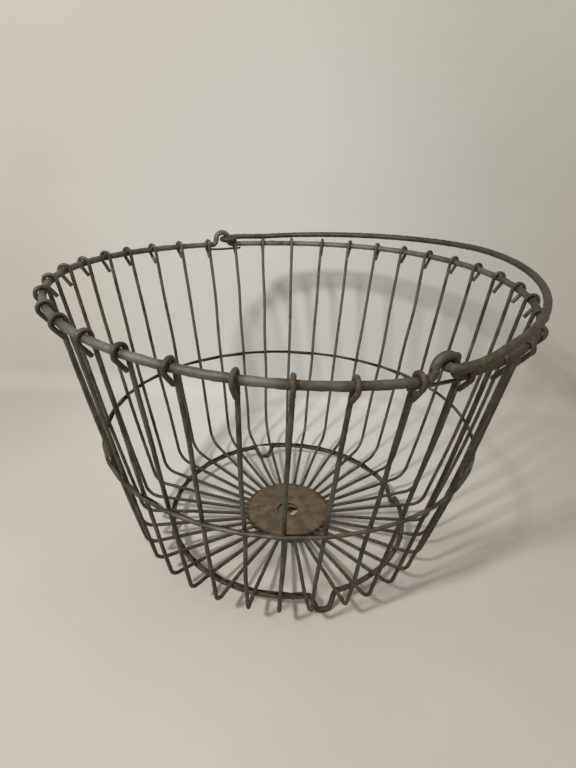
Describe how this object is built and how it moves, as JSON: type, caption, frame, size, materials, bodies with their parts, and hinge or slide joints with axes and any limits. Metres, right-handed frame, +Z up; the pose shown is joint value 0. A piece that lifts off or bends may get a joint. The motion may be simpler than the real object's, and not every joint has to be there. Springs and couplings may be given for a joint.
{
  "type": "wire egg basket",
  "caption": "Round tapered basket of upright wires hooked over a rim hoop, with a plated hub, a footed base ring and a swinging bail handle, for gathering eggs.",
  "frame": {"origin": "on the ground plane, on the basket's own axis", "axes": "+Z up along the basket's axis; the bail's hinge line runs along Y, through the two ears of the rim; at rest the bail lies over the rim on the +X side"},
  "size_m": [0.343, 0.346, 0.233],
  "materials": {
    "dull_zinc_wire": "weathered galvanised wire, dull grey-green with brown specks",
    "rusty_zinc_wire": "weathered galvanised wire with a film of brown rust",
    "rusted_wire": "brown rusted wire",
    "rusted_sheet": "matt brown rusted sheet",
    "dark_bail_wire": "dark handled wire, slightly smooth"
  },
  "bodies": {
    "basket": {"rib_01": "dull_zinc_wire", "rib_02": "dull_zinc_wire", "rib_03": "dull_zinc_wire", "rib_04": "dull_zinc_wire", "rib_05": "dull_zinc_wire", "rib_06": "dull_zinc_wire", "rib_07": "dull_zinc_wire", "rib_08": "dull_zinc_wire", "rib_09": "dull_zinc_wire", "rib_10": "dull_zinc_wire", "rib_11": "dull_zinc_wire", "rib_12": "dull_zinc_wire", "rib_13": "dull_zinc_wire", "rib_14": "dull_zinc_wire", "rib_15": "dull_zinc_wire", "rib_16": "dull_zinc_wire", "rib_17": "dull_zinc_wire", "rib_18": "dull_zinc_wire", "rib_19": "dull_zinc_wire", "rib_20": "dull_zinc_wire", "rib_21": "dull_zinc_wire", "rib_22": "dull_zinc_wire", "rib_23": "dull_zinc_wire", "rib_24": "dull_zinc_wire", "rib_25": "dull_zinc_wire", "rib_26": "dull_zinc_wire", "rib_27": "dull_zinc_wire", "rib_28": "dull_zinc_wire", "rib_29": "dull_zinc_wire", "rib_30": "dull_zinc_wire", "rib_31": "dull_zinc_wire", "rib_32": "dull_zinc_wire", "rib_33": "dull_zinc_wire", "rib_34": "dull_zinc_wire", "rib_35": "dull_zinc_wire", "rib_36": "dull_zinc_wire", "rim_hoop": "rusty_zinc_wire", "mid_hoop": "dull_zinc_wire", "foot_ring": "rusted_wire", "ear_keeper_rear": "dull_zinc_wire", "ear_keeper_front": "dull_zinc_wire", "hub_plate_upper": "rusted_sheet", "hub_plate_lower": "rusted_sheet"},
    "bail": {"bail": "dark_bail_wire"}
  },
  "joints": [
    {"name": "bail_swing", "type": "hinge", "parent": "basket", "child": "bail", "pos_m": [0, 0, 0.2178], "axis": [0, -1, 0], "range_deg": [0, 171.4]}
  ]
}
